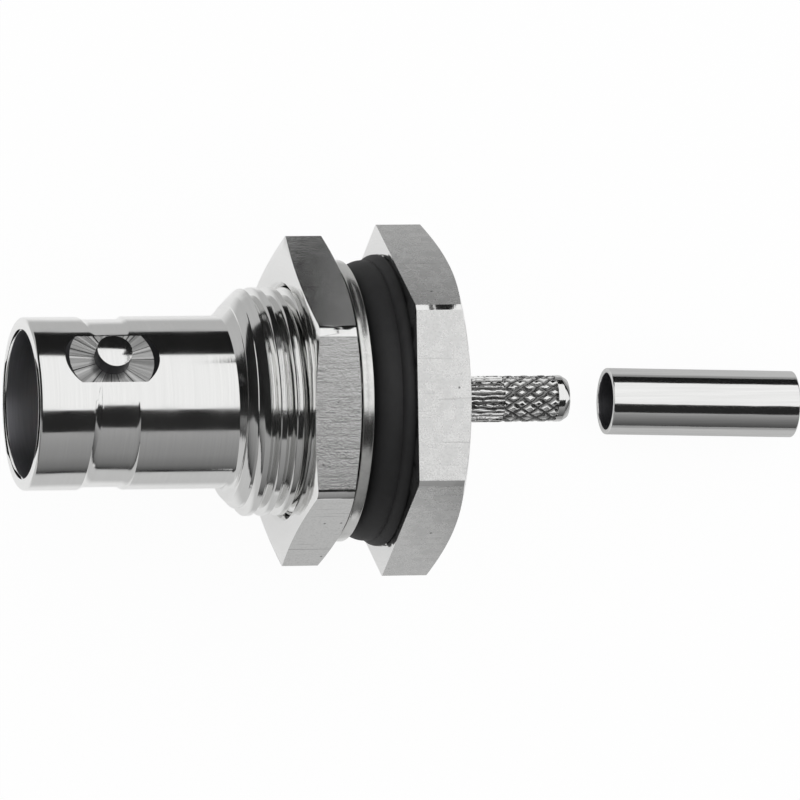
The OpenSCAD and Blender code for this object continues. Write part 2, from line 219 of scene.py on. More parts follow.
class StudioSettings(bpy.types.PropertyGroup):
    """Camera, lights and reflecting cards"""
    camera_distance: length("Camera distance", "Distance from the camera to its aim", 669.19)
    camera_pitch: angle("Camera pitch", "Turn of the camera about X", 1.842)
    camera_yaw: angle("Camera yaw", "Turn of the camera about Y, towards the mouth", -14.881)
    camera_roll: angle("Camera roll", "Turn of the camera about Z", -1.065)
    camera_lens: FloatProperty(name="Lens", description="Focal length", default=540.0, unit="CAMERA")
    aim_x: length("Aim along the axis", "Where the camera aims on the axis", 1.229)
    softbox_level: brightness("Softbox level", "Brightness of the overhead softbox", 1.02)
    grey_level: brightness("Grey card level", "Brightness of the grey cards at their tops", 0.39)
    black_level: brightness("Black flag level", "Brightness of the black flags", 0.011)
    gap_level: brightness("Gap level", "Brightness of the dark gap beside the softbox", 0.022)
    floor_colour: colour("Floor", "Plain pale floor", "#fcfcfc")


GROUPS = {"jack": JackSizes, "fasteners": FastenerSizes, "cable_end": CableEndSizes, "inner": InnerSizes,
          "finishes": Finishes, "studio": StudioSettings}


# Meshes

def lathe(bm, outline, segments, closed=False):
    """Spins an outline of (station, radius) points about the X axis, and returns its vertices"""
    before = set(bm.verts)
    ring = [bm.verts.new((x, 0, r)) for x, r in outline]
    pairs = list(zip(ring, ring[1:])) + ([(ring[-1], ring[0])] if closed else [])
    edges = [bm.edges.new(pair) for pair in pairs]
    bmesh.ops.spin(bm, geom=ring + edges, cent=(0, 0, 0), axis=(1, 0, 0), dvec=(0, 0, 0), angle=TURN,
                   steps=segments, use_merge=True, use_normal_flip=False, use_duplicate=False)
    made = [v for v in bm.verts if v not in before]
    bmesh.ops.remove_doubles(bm, verts=made, dist=TOUCHING)
    bmesh.ops.recalc_face_normals(bm, faces=bm.faces[:])
    return [v for v in bm.verts if v not in before]


def break_edges(bm, width, sharper_than=25, steps=2, keep=None, polish=None):
    """Rounds the edges whose faces meet more sharply than an angle in degrees, and can give the new faces
    a material slot of their own"""
    limit = math.radians(sharper_than)
    edges = [e for e in bm.edges if len(e.link_faces) == 2 and e.calc_face_angle() > limit
             and (keep is None or keep(e))]
    made = bmesh.ops.bevel(bm, geom=edges, offset=width, offset_type="OFFSET", segments=steps, profile=0.5,
                           affect="EDGES", clamp_overlap=True, material=-1)
    if polish is not None:
        for face in made["faces"]:
            face.material_index = polish


def ring_cuts(bm, stations):
    """Adds rings of vertices at stations along the axis"""
    for x in stations:
        bmesh.ops.bisect_plane(bm, geom=bm.verts[:] + bm.edges[:] + bm.faces[:], plane_co=(x, 0, 0),
                               plane_no=(1, 0, 0), dist=TOUCHING)


def arc(centre, radius, start, end, steps):
    """Points on an arc of an outline, from one angle in degrees to another"""
    turns = [math.radians(start + (end - start) * i / steps) for i in range(steps + 1)]
    return [(centre[0] + radius * math.cos(a), centre[1] + radius * math.sin(a)) for a in turns]


def scratch(bm, name, *materials):
    """A working object, not yet one of the pieces"""
    mesh = bpy.data.meshes.new(name)
    bm.to_mesh(mesh)
    bm.free()
    for material in materials:
        mesh.materials.append(material)
    obj = bpy.data.objects.new(name, mesh)
    bpy.context.scene.collection.objects.link(obj)
    return obj


def combine(target, other, operation):
    """Joins, cuts or intersects the target with another object, which is used up"""
    modifier = target.modifiers.new("combine", "BOOLEAN")
    modifier.operation = operation
    modifier.solver = "EXACT"
    modifier.material_mode = "TRANSFER"
    modifier.object = other
    graph = bpy.context.evaluated_depsgraph_get()
    mesh = bpy.data.meshes.new_from_object(target.evaluated_get(graph), depsgraph=graph)
    target.modifiers.clear()
    old = target.data
    target.data = mesh
    bpy.data.meshes.remove(old)
    bpy.data.objects.remove(other)


def polish_edges(obj, width, sharper_than, polish):
    """Rounds the sharp edges of a working object and gives them a material slot"""
    bm = bmesh.new()
    bm.from_mesh(obj.data)
    break_edges(bm, width, sharper_than, polish=polish)
    bm.to_mesh(obj.data)
    bm.free()


def absorb(obj, other):
    """Adds another closed surface to an object's mesh, with its materials, and uses the other up"""
    slots = obj.data.materials
    for material in other.data.materials:
        if slots.find(material.name) < 0:
            slots.append(material)
    places = [slots.find(material.name) for material in other.data.materials]
    bm = bmesh.new()
    bm.from_mesh(other.data)
    for face in bm.faces:
        face.material_index = places[face.material_index]
    bm.from_mesh(obj.data)
    bm.to_mesh(obj.data)
    bm.free()
    bpy.data.objects.remove(other)


def finish_piece(obj, name, body, nodes, crease=38):
    """Names a finished piece, shades it, and puts it on the body whose nodes it stands for"""
    obj.name = name
    obj.data.name = name
    obj.data.shade_smooth()
    obj.data.set_sharp_from_angle(angle=math.radians(crease))
    weights = obj.modifiers.new("weighted_normals", "WEIGHTED_NORMAL")
    weights.mode = "FACE_AREA"
    weights.keep_sharp = True
    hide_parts(*nodes)
    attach(obj, body)


def hexagonal_bar(flats, start, end, edge, side_edge, turn=0.0, steps=1):
    """A hexagonal prism along X with two flats level, turned about the axis. The long edges beside its level
    flats are taken back by one setback and those at its two sides by another"""
    bm = bmesh.new()
    frame_turn = Matrix.Rotation(turn, 4, "X") @ Matrix.Rotation(math.pi / 2, 4, "Y")
    bmesh.ops.create_circle(bm, cap_ends=True, segments=6, radius=flats / math.sqrt(3),
                            matrix=Matrix.Translation((start, 0, 0)) @ frame_turn)
    grown = bmesh.ops.extrude_face_region(bm, geom=bm.faces[:])
    moved = [v for v in grown["geom"] if isinstance(v, bmesh.types.BMVert)]
    bmesh.ops.translate(bm, verts=moved, vec=(end - start, 0, 0))
    bmesh.ops.recalc_face_normals(bm, faces=bm.faces[:])
    for width, at_side in ((edge, False), (side_edge, True)):
        break_edges(bm, width, sharper_than=40, steps=steps, polish=1,
                    keep=lambda e: abs(e.verts[0].co.x - e.verts[1].co.x) > MM
                    and (abs(e.verts[0].co.z) < flats / 4) == at_side)
    return bm


# Materials

def feed(tree, node, **inputs):
    """Sets inputs of a node, each to a value or to another node's output; i0, i1 and so on go by number"""
    for key, value in inputs.items():
        by_number = key[0] == "i" and key[1:].isdigit()
        socket = node.inputs[int(key[1:]) if by_number else key.replace("_", " ")]
        if isinstance(value, bpy.types.NodeSocket):
            tree.links.new(value, socket)
        else:
            socket.default_value = value


def add_node(tree, kind, settings=None, **inputs):
    """Adds one node: settings are its own options, and its inputs are fed"""
    node = tree.nodes.new(kind)
    for key, value in (settings or {}).items():
        setattr(node, key, value)
    feed(tree, node, **inputs)
    return node


def new_material(name, kind="ShaderNodeBsdfPrincipled", **inputs):
    """A material with its node tree and the one shader that it puts out"""
    material = bpy.data.materials.new(name)
    material.use_nodes = True
    tree = material.node_tree
    tree.nodes.clear()
    shader = add_node(tree, kind, **inputs)
    add_node(tree, "ShaderNodeOutputMaterial", Surface=shader.outputs[0])
    return material, tree, shader


def colour_ramp(tree, value, stops):
    """Colour that runs between (position, colour) stops"""
    ramp = add_node(tree, "ShaderNodeValToRGB", Fac=value)
    elements = ramp.color_ramp.elements
    while len(elements) < len(stops):
        elements.new(1.0)
    for element, (position, tint) in zip(elements, stops):
        element.position = position
    for element, (position, tint) in zip(elements, stops):
        element.color = tint
    return ramp.outputs["Color"]


def tint_ramp(tree, value, rgb, low, high, darkest, lightest):
    """Colour that runs between a darker and a lighter tone of one finish as a value goes from low to high"""
    stops = [(position, [min(1.0, c * factor) for c in rgb] + [1.0])
             for position, factor in ((low, darkest), (high, lightest))]
    return colour_ramp(tree, value, stops)


def streaks(tree, place, sizes, **settings):
    """Noise whose marks have a size of their own along each axis"""
    scaled = add_node(tree, "ShaderNodeVectorMath", {"operation": "MULTIPLY"}, i0=place,
                      i1=[1 / size for size in sizes])
    marks = add_node(tree, "ShaderNodeTexNoise", Vector=scaled.outputs["Vector"], Scale=1.0, **settings)
    return marks.outputs["Fac"]


def layered(tree, *tones):
    """Tones laid over one another, each darkening what lies under it"""
    tone = tones[0]
    for other in tones[1:]:
        tone = add_node(tree, "ShaderNodeMix", {"data_type": "RGBA", "blend_type": "MULTIPLY"}, Factor=1.0,
                        A=tone, B=other).outputs[2]
    return tone


def turned_nickel(rgb):
    """Bright nickel plate over turned brass: the tool leaves fine rings round the axis, so bands of light
    run sharp along the barrel and the rings show as faint streaks across them."""
    material, tree, shader = new_material("nickel_plate_turned", Metallic=1.0, Anisotropic=0.5)
    ring_spacing = 0.09 * MM       # feed of the turning tool, drawn a little coarser than it is
    ring_depth = 0.0012 * MM
    swell = 6 * MM                 # how far round a ring keeps its depth
    cloud_size = 2.4 * MM          # patches where the plate is a little duller
    place = add_node(tree, "ShaderNodeTexCoord").outputs["Object"]
    parts = add_node(tree, "ShaderNodeSeparateXYZ", Vector=place)
    flat = add_node(tree, "ShaderNodeCombineXYZ", Y=parts.outputs["Y"], Z=parts.outputs["Z"])
    radius = add_node(tree, "ShaderNodeVectorMath", {"operation": "LENGTH"}, Vector=flat.outputs["Vector"])
    rings = add_node(tree, "ShaderNodeCombineXYZ", X=parts.outputs["X"], Y=radius.outputs["Value"])
    scaled = add_node(tree, "ShaderNodeVectorMath", {"operation": "SCALE"}, Vector=rings.outputs["Vector"],
                      Scale=1 / ring_spacing)
    drift = add_node(tree, "ShaderNodeVectorMath", {"operation": "MULTIPLY"}, i0=place,
                     i1=(0, 1 / swell, 1 / swell))
    across = add_node(tree, "ShaderNodeVectorMath", {"operation": "ADD"}, i0=scaled.outputs["Vector"],
                      i1=drift.outputs["Vector"])
    marks = add_node(tree, "ShaderNodeTexNoise", Vector=across.outputs["Vector"], Scale=1.0, Detail=3.0,
                     Roughness=0.6)
    cloud = add_node(tree, "ShaderNodeTexNoise", Vector=place, Scale=1 / cloud_size, Detail=2.0)
    tone = tint_ramp(tree, marks.outputs["Fac"], rgb, 0.3, 0.7, 0.965, 1.01)
    gloss = add_node(tree, "ShaderNodeMapRange", Value=cloud.outputs["Fac"], From_Min=0.3, From_Max=0.7,
                     To_Min=0.07, To_Max=0.13)
    relief = add_node(tree, "ShaderNodeBump", Height=marks.outputs["Fac"], Strength=1.0,
                      Distance=ring_depth)
    tangent = add_node(tree, "ShaderNodeTangent", {"direction_type": "RADIAL", "axis": "X"})
    feed(tree, shader, Base_Color=tone, Roughness=gloss.outputs["Result"], Tangent=tangent.outputs["Tangent"],
         Normal=relief.outputs["Normal"])
    return material


def bar_nickel(rgb, name, roughness, dent_depth, darkest):
    """Nickel plate over the flats of drawn hexagonal bar: satin, with lines of the drawing die along the
    axis, a fine pebbled grain, shallow dents from the tumbling barrel and a few small pits."""
    material, tree, shader = new_material(name, Metallic=1.0)
    grain_size = 0.11 * MM
    grain_depth = 0.006 * MM
    line_spacing = 0.16 * MM
    line_length = 25 * line_spacing
    dent_size = 0.55 * MM
    pit_spacing = 1.3 * MM
    place = add_node(tree, "ShaderNodeTexCoord").outputs["Object"]
    grain = add_node(tree, "ShaderNodeTexNoise", Vector=place, Scale=1 / grain_size, Detail=3.0,
                     Roughness=0.65)
    lines = streaks(tree, place, (line_length, line_spacing, line_spacing), Detail=2.0)
    dents = add_node(tree, "ShaderNodeTexNoise", Vector=place, Scale=1 / dent_size, Detail=2.0)
    both = add_node(tree, "ShaderNodeMath", {"operation": "MULTIPLY_ADD"}, i0=lines, i1=0.45,
                    i2=grain.outputs["Fac"])
    pits = add_node(tree, "ShaderNodeTexVoronoi", Vector=place, Scale=1 / pit_spacing)
    tone = layered(tree, tint_ramp(tree, grain.outputs["Fac"], rgb, 0.2, 0.5, darkest, 1.04),
                   tint_ramp(tree, pits.outputs["Distance"], (1, 1, 1), 0.03, 0.07, 0.15, 1.0),
                   tint_ramp(tree, lines, (1, 1, 1), 0.28, 0.34, darkest, 1.0))
    gloss = add_node(tree, "ShaderNodeMapRange", Value=dents.outputs["Fac"], From_Min=0.3, From_Max=0.7,
                     To_Min=roughness[0], To_Max=roughness[1])
    hollows = add_node(tree, "ShaderNodeBump", Height=dents.outputs["Fac"], Strength=1.0,
                      Distance=dent_depth)
    relief = add_node(tree, "ShaderNodeBump", Height=both.outputs["Value"], Strength=1.0,
                      Distance=grain_depth, Normal=hollows.outputs["Normal"])
    feed(tree, shader, Base_Color=tone, Roughness=gloss.outputs["Result"], Normal=relief.outputs["Normal"])
    return material


def painted_shade_nickel(rgb, name):
    """Nickel plate deep in a bore or a corner: duller than outside, and with its colour painted darker than
    outside, a painted shade that stands in for the shade there."""
    material, tree, shader = new_material(name, Metallic=1.0, Roughness=0.42)
    place = add_node(tree, "ShaderNodeTexCoord").outputs["Object"]
    marks = streaks(tree, place, (0.1 * MM, 3 * MM, 3 * MM), Detail=2.0)
    feed(tree, shader, Base_Color=tint_ramp(tree, marks, rgb, 0.3, 0.7, 0.9, 1.05))
    return material


def knocked_edge_painted_shade_nickel(rgb):
    """Nickel plate on an edge knocked in the tumbling barrel: bright in spots, and painted nearly black
    between them, a painted shade that draws a dark line along the edge.
    """
    material, tree, shader = new_material("nickel_plate_knocked_edge_painted_shade", Metallic=1.0, Roughness=0.35)
    knock_size = 0.16 * MM
    place = add_node(tree, "ShaderNodeTexCoord").outputs["Object"]
    knocks = add_node(tree, "ShaderNodeTexNoise", Vector=place, Scale=1 / knock_size, Detail=2.0)
    # painted shade: between the knocks the edge colour falls nearly to black
    feed(tree, shader, Base_Color=tint_ramp(tree, knocks.outputs["Fac"], rgb, 0.52, 0.66, 0.03, 0.8))
    return material


def knurled_nickel(rgb):
    """Nickel plate over a rolled knurl: bright on the crests, while the grooves, marked by the mesh's groove
    attribute, are painted darker, a painted shade, with random patches of wear."""
    material, tree, shader = new_material("nickel_plate_knurled", Metallic=1.0)
    wear_size = 0.2 * MM
    wear_depth = 0.006 * MM
    groove = add_node(tree, "ShaderNodeAttribute", {"attribute_name": "groove"})
    place = add_node(tree, "ShaderNodeTexCoord").outputs["Object"]
    wear = add_node(tree, "ShaderNodeTexNoise", Vector=place, Scale=1 / wear_size, Detail=3.0)
    groove_shade_and_wear = add_node(tree, "ShaderNodeMath", {"operation": "MULTIPLY_ADD"}, i0=wear.outputs["Fac"], i1=0.5,
                    i2=groove.outputs["Fac"])
    # painted shade: deep in the grooves the colour falls to about a quarter
    tone = tint_ramp(tree, groove_shade_and_wear.outputs["Value"], rgb, 0.4, 1.0, 1.0, 0.28)
    gloss = add_node(tree, "ShaderNodeMapRange", Value=groove.outputs["Fac"], To_Min=0.12, To_Max=0.4)
    relief = add_node(tree, "ShaderNodeBump", Height=wear.outputs["Fac"], Strength=1.0,
                      Distance=wear_depth)
    feed(tree, shader, Base_Color=tone, Roughness=gloss.outputs["Result"], Normal=relief.outputs["Normal"])
    return material


def milled_nickel(rgb, sizes):
    """Nickel plate over a hollow-milled flat: the cutter's teeth leave spokes that point at the lug, each
    tilted its own way, so some flash and some stay dark; sectors and tooth lines are also painted darker, a
    painted shade."""
    material, tree, shader = new_material("nickel_plate_milled_flat", Metallic=1.0, Roughness=0.3)
    sector_count = 4.5             # broad sectors in one radian
    line_count = 16.0              # thin tooth marks in one radian
    sector_depth = 0.02 * MM
    place = add_node(tree, "ShaderNodeTexCoord").outputs["Object"]
    lug_frame = add_node(tree, "ShaderNodeMapping", {"vector_type": "TEXTURE"}, Vector=place,
                         Location=(MOUTH + sizes.lug_setback, 0, 0), Rotation=(-sizes.lug_angle, 0, 0))
    parts = add_node(tree, "ShaderNodeSeparateXYZ", Vector=lug_frame.outputs["Vector"])
    spoke = add_node(tree, "ShaderNodeMath", {"operation": "ARCTAN2"}, i0=parts.outputs["Y"],
                     i1=parts.outputs["X"])
    sectors = add_node(tree, "ShaderNodeTexNoise", {"noise_dimensions": "1D"}, W=spoke.outputs["Value"],
                       Scale=sector_count, Detail=1.0)
    marks = add_node(tree, "ShaderNodeTexNoise", {"noise_dimensions": "1D"}, W=spoke.outputs["Value"],
                     Scale=line_count, Detail=3.0, Roughness=0.6)
    # painted shade: some sectors and the tooth lines are painted darker
    tone = layered(tree, tint_ramp(tree, sectors.outputs["Fac"], rgb, 0.4, 0.62, 0.5, 0.85),
                   tint_ramp(tree, marks.outputs["Fac"], (1, 1, 1), 0.34, 0.42, 0.06, 1.0))
    relief = add_node(tree, "ShaderNodeBump", Height=sectors.outputs["Fac"], Strength=1.0,
                      Distance=sector_depth)
    feed(tree, shader, Base_Color=tone, Normal=relief.outputs["Normal"])
    return material


def spring_nickel(rgb):
    """Nickel plate over stamped spring bronze: bright and slightly hammered by the tumbling barrel."""
    material, tree, shader = new_material("nickel_plate_stamped_bronze", Metallic=1.0, Roughness=0.2)
    dent_size = 0.5 * MM
    dent_depth = 0.004 * MM
    place = add_node(tree, "ShaderNodeTexCoord").outputs["Object"]
    dents = add_node(tree, "ShaderNodeTexNoise", Vector=place, Scale=1 / dent_size, Detail=3.0)
    relief = add_node(tree, "ShaderNodeBump", Height=dents.outputs["Fac"], Strength=1.0,
                      Distance=dent_depth)
    feed(tree, shader, Base_Color=tint_ramp(tree, dents.outputs["Fac"], rgb, 0.3, 0.7, 0.9, 1.02),
         Normal=relief.outputs["Normal"])
    return material


def drawn_nickel(rgb):
    """Nickel plate over drawn tube: the smoothest of the finishes, with faint lines along the tube and slow
    waves that bend the edges of a reflection."""
    material, tree, shader = new_material("nickel_plate_drawn_tube", Metallic=1.0, Roughness=0.1)
    line_spacing = 0.12 * MM
    line_length = 50 * line_spacing
    line_depth = 0.0006 * MM
    wave_depth = 0.012 * MM
    place = add_node(tree, "ShaderNodeTexCoord").outputs["Object"]
    lines = streaks(tree, place, (line_length, line_spacing, line_spacing), Detail=2.0)
    waves = streaks(tree, place, (2.5 * MM, 1.2 * MM, 1.2 * MM), Detail=1.0)
    swell = add_node(tree, "ShaderNodeBump", Height=waves, Strength=1.0, Distance=wave_depth)
    relief = add_node(tree, "ShaderNodeBump", Height=lines, Strength=1.0, Distance=line_depth,
                      Normal=swell.outputs["Normal"])
    feed(tree, shader, Base_Color=tint_ramp(tree, lines, rgb, 0.3, 0.7, 0.93, 1.02),
         Normal=relief.outputs["Normal"])
    return material


def moulded_rubber(rgb):
    """Nitrile rubber from a steel mould: black and even, with a dull sheen and a dusting of mould powder."""
    material, tree, shader = new_material("nitrile_rubber_moulded", Roughness=0.62, IOR=1.45)
    powder_size = 0.7 * MM
    pore_size = 0.08 * MM
    pore_depth = 0.004 * MM
    place = add_node(tree, "ShaderNodeTexCoord").outputs["Object"]
    powder = add_node(tree, "ShaderNodeTexNoise", Vector=place, Scale=1 / powder_size, Detail=4.0,
                      Roughness=0.6)
    pores = add_node(tree, "ShaderNodeTexNoise", Vector=place, Scale=1 / pore_size, Detail=2.0)
    relief = add_node(tree, "ShaderNodeBump", Height=pores.outputs["Fac"], Strength=1.0,
                      Distance=pore_depth)
    feed(tree, shader, Base_Color=tint_ramp(tree, powder.outputs["Fac"], rgb, 0.35, 0.75, 0.9, 1.15),
         Normal=relief.outputs["Normal"])
    return material


def machined_fluoropolymer(rgb):
    """White fluoropolymer turned from rod: waxy and slightly translucent, with soft tool rings."""
    material, tree, shader = new_material("fluoropolymer_turned", Roughness=0.45, IOR=1.35,
                                          Subsurface_Weight=0.15, Subsurface_Scale=0.4 * MM)
    cloud_size = 0.8 * MM
    cloud_depth = 0.01 * MM
    place = add_node(tree, "ShaderNodeTexCoord").outputs["Object"]
    cloud = add_node(tree, "ShaderNodeTexNoise", Vector=place, Scale=1 / cloud_size, Detail=3.0)
    relief = add_node(tree, "ShaderNodeBump", Height=cloud.outputs["Fac"], Strength=1.0,
                      Distance=cloud_depth)
    feed(tree, shader, Base_Color=tint_ramp(tree, cloud.outputs["Fac"], rgb, 0.3, 0.7, 0.95, 1.02),
         Normal=relief.outputs["Normal"])
    return material


def plated_gold(rgb):
    """Gold plate over turned brass: warm and bright, with the fine rings of turning."""
    material, tree, shader = new_material("gold_plate_turned", Metallic=1.0, Roughness=0.18)
    ring_depth = 0.001 * MM
    place = add_node(tree, "ShaderNodeTexCoord").outputs["Object"]
    marks = streaks(tree, place, (0.08 * MM, 1.5 * MM, 1.5 * MM), Detail=2.0)
    relief = add_node(tree, "ShaderNodeBump", Height=marks, Strength=1.0, Distance=ring_depth)
    feed(tree, shader, Base_Color=tint_ramp(tree, marks, rgb, 0.3, 0.7, 0.9, 1.05),
         Normal=relief.outputs["Normal"])
    return material


# Pieces

def thread_root_radius(sizes):
    """Radius at the thread's root, from its pitch and its flats, with 60 degrees between the flanks"""
    flank = (sizes.thread_pitch - sizes.thread_crest - sizes.thread_root) / 2
    return sizes.thread_radius - flank / math.tan(math.radians(30))


def body_core(sizes, turned, bored):
    """The turned core in one closed outline: barrel, shoulder, thread root and neck, with the bores inside"""
    s = sizes
    root = thread_root_radius(s)
    reference = MOUTH + s.mouth_depth
    edge = s.mouth_edge
    rear = FLANGE_REAR / 2 + 0.1 * MM      # the core ends inside the flange
    outline = [(MOUTH, s.mouth_radius + edge), (MOUTH, s.barrel_radius - edge),
               (MOUTH + edge, s.barrel_radius)]
    outline += arc((s.shoulder - s.fillet, s.barrel_radius + s.fillet), s.fillet, 270, 360, 12)
    outline += [(s.shoulder, s.shoulder_radius), (s.shoulder + root - s.shoulder_radius, root),
                (-s.neck_length, root), (-s.neck_length, s.neck_radius), (rear, s.neck_radius),
                (rear, s.rear_bore), (reference + s.web, s.rear_bore), (reference + s.web, s.web_bore),
                (reference, s.web_bore), (reference, s.mouth_radius), (MOUTH + edge, s.mouth_radius)]
    bm = bmesh.new()
    lathe(bm, outline, s.segments, closed=True)
    break_edges(bm, s.broken_edge / 2,
                keep=lambda e: min(v.co.x for v in e.verts) < s.shoulder + MM
                and e.verts[0].co.yz.length > s.mouth_radius - TOUCHING)
    strip = 0.25 * MM                      # short strips by the lugs keep the shading even round the cuts
    ring_cuts(bm, [MOUTH + s.lug_setback + strip * i for i in range(-10, 11)])
    for face in bm.faces:
        middle = face.calc_center_median()
        inside = middle.yz.length < s.mouth_radius + edge / 2 and middle.x > MOUTH + edge
        face.material_index = 1 if inside else 0
    return scratch(bm, "core", turned, bored)


def groove_cutter(sizes, material, side):
    """Ring that turns one groove off centre: deepest midway between the lugs, the groove runs out on the skin
    just before the milled flats"""
    s = sizes
    lug_x = MOUTH + s.lug_setback
    skin = s.barrel_radius
    floor = skin - s.groove_depth
    run_out = math.sqrt(skin ** 2 - s.spot_reach ** 2) + s.spot_wall
    off_centre = (skin ** 2 - floor ** 2) / (2 * (floor - run_out))
    bottom = floor + off_centre
    rise = s.groove_depth + 0.02 * MM      # the corners run on over the skin, so that they cross it cleanly
    front = lug_x + s.groove_shift - s.groove_width / 2
    rear = front + s.groove_width
    front_turn = math.degrees(math.acos(1 - rise / s.groove_front))
    rear_turn = math.degrees(math.acos(1 - rise / s.groove_rear))
    front_foot = front + s.groove_front * math.sin(math.radians(front_turn))
    rear_foot = rear - s.groove_rear * math.sin(math.radians(rear_turn))
    section = arc((front_foot, bottom + s.groove_front), s.groove_front, 270 - front_turn, 270, 8)
    section += arc((rear_foot, bottom + s.groove_rear), s.groove_rear, 270, 270 + rear_turn, 6)
    bm = bmesh.new()
    lathe(bm, section + [(rear, bottom + MM), (front, bottom + MM)], s.segments, closed=True)
    bmesh.ops.transform(bm, verts=bm.verts[:], matrix=Matrix.Rotation(side - s.lug_angle, 4, "X")
                        @ Matrix.Translation((0, -off_centre, 0)))
    return scratch(bm, "groove", material)


def milled_cutter(sizes, milled, wall_shade, side):
    """Flared cutter that mills the flat round one lug, and whose wall is painted dark: painted shade"""
    s = sizes
    bm = bmesh.new()
    reach = 3 * MM
    bmesh.ops.create_cone(bm, cap_ends=True, segments=96, radius1=s.spot_radius,
                          radius2=s.spot_radius + s.spot_flare * reach, depth=reach,
                          matrix=Matrix.Translation((0, 0, reach / 2)))
    for face in bm.faces:
        face.material_index = 0 if len(face.verts) > 4 else 1
    bmesh.ops.transform(bm, verts=bm.verts[:], matrix=Matrix.Rotation(side - s.lug_angle, 4, "X")
                        @ Matrix.Translation((MOUTH + s.lug_setback, 0, s.spot_reach)))
    return scratch(bm, "cutter", milled, wall_shade)


def bayonet_lug(sizes, turned, wall_shade, side):
    """A lug whose tip was turned with the barrel, so that it follows a cylinder, with its wall in painted shade
    """
    s = sizes
    bm = bmesh.new()
    bmesh.ops.create_circle(bm, cap_ends=True, segments=64, radius=s.lug_radius)
    strips = 12
    foot = s.spot_reach - 0.4 * MM         # inside the body
    for i in range(1, strips):
        y = s.lug_radius * (2 * i / strips - 1)
        bmesh.ops.bisect_plane(bm, geom=bm.verts[:] + bm.edges[:] + bm.faces[:], plane_co=(0, y, 0),
                               plane_no=(0, 1, 0), dist=TOUCHING)
    for v in bm.verts:
        v.co.z = math.sqrt(s.lug_reach ** 2 - v.co.y ** 2)
    rim = [e for e in bm.edges if e.is_boundary]
    wall = bmesh.ops.extrude_edge_only(bm, edges=rim)
    for item in wall["geom"]:
        if isinstance(item, bmesh.types.BMVert):
            item.co.z = foot
        elif isinstance(item, bmesh.types.BMFace):
            item.material_index = 1
    bmesh.ops.holes_fill(bm, edges=[e for e in bm.edges if e.is_boundary], sides=0)
    bmesh.ops.recalc_face_normals(bm, faces=bm.faces[:])
    break_edges(bm, s.broken_edge * 0.6, sharper_than=40, steps=3)
    bmesh.ops.transform(bm, verts=bm.verts[:], matrix=Matrix.Rotation(side - s.lug_angle, 4, "X")
                        @ Matrix.Translation((MOUTH + s.lug_setback, 0, 0)))
    return scratch(bm, "lug", turned, wall_shade)


def thread_helix(sizes, material):
    """One ridge wound along the shank as a right-hand screw. It runs on under the skin at both ends, and fades
    in through the cone that is turned on the shank's front and on its end at the neck."""
    s = sizes
    flank = (s.thread_pitch - s.thread_crest - s.thread_root) / 2
    root = thread_root_radius(s)
    crest_edge = 0.05 * MM
    sunk = root - 0.15 * MM
    half = s.thread_crest / 2
    side = [(-half - flank, sunk), (-half - flank, root), (-half - flank / 2, (root + s.thread_radius) / 2),
            (-half - crest_edge * 0.6, s.thread_radius - crest_edge),
            (-half + crest_edge * 0.5, s.thread_radius)]
    profile = side + [(-x, r) for x, r in reversed(side)]
    steps_per_turn = 120
    start = s.shoulder - s.thread_pitch
    steps = int((-s.neck_length + s.thread_pitch - start) / s.thread_pitch * steps_per_turn)
    bm = bmesh.new()
    ring = [bm.verts.new((start + x, 0, r)) for x, r in profile]
    face = bm.faces.new(ring)
    bmesh.ops.spin(bm, geom=[face], cent=(0, 0, 0), axis=(1, 0, 0),
                   dvec=(s.thread_pitch / steps_per_turn, 0, 0), angle=TURN * steps / steps_per_turn,
                   steps=steps, use_merge=False, use_normal_flip=False, use_duplicate=False)
    for v in bm.verts:
        radius = v.co.yz.length
        shrink = min(1, thread_limit(s, root, v.co.x) / radius)
        v.co.y *= shrink
        v.co.z *= shrink
    bmesh.ops.recalc_face_normals(bm, faces=bm.faces[:])
    return scratch(bm, "thread", material)


def thread_limit(sizes, root, x):
    """Greatest radius of the ridge at a station, under the cones at both ends of the thread"""
    s = sizes
    under = 0.03 * MM
    hidden = 0.1 * MM
    if x < s.shoulder + hidden:
        return s.barrel_radius - hidden
    if x > -s.neck_length - hidden:
        return s.neck_radius - hidden
    return min(s.shoulder_radius + x - s.shoulder, root - s.neck_length - x) - under


def turned_flange(sizes, flats_material, turned_material, edge_material):
    """The hexagonal flange: its rear corners, face, recess and bore are turned, and its edges are knocked
    and painted dark, a painted shade
    """
    s = sizes
    flats = 2 * SHELL_HIGH.z
    flat_r = flats / 2
    rim = flat_r * CORNER_REACH
    wall = s.neck_radius - MM              # inside the core's own wall
    outline = [(s.recess_depth, wall), (s.recess_depth, s.recess_radius), (0, s.recess_radius),
               (0, flat_r + rim), (FLANGE_REAR - rim * math.tan(s.flange_chamfer), flat_r + rim),
               (FLANGE_REAR, flat_r), (FLANGE_REAR, s.rear_bore), (FLANGE_REAR / 2, s.rear_bore),
               (FLANGE_REAR / 2, wall)]
    bm = bmesh.new()
    lathe(bm, outline, s.segments, closed=True)
    envelope = scratch(bm, "envelope", turned_material)
    prism = hexagonal_bar(flats, -MM, FLANGE_REAR + MM, s.flange_edge, s.broken_edge)
    flange = scratch(prism, "flange", flats_material, turned_material, edge_material)
    combine(flange, envelope, "INTERSECT")
    polish_edges(flange, s.broken_edge, BAR_EDGE, polish=2)
    return flange


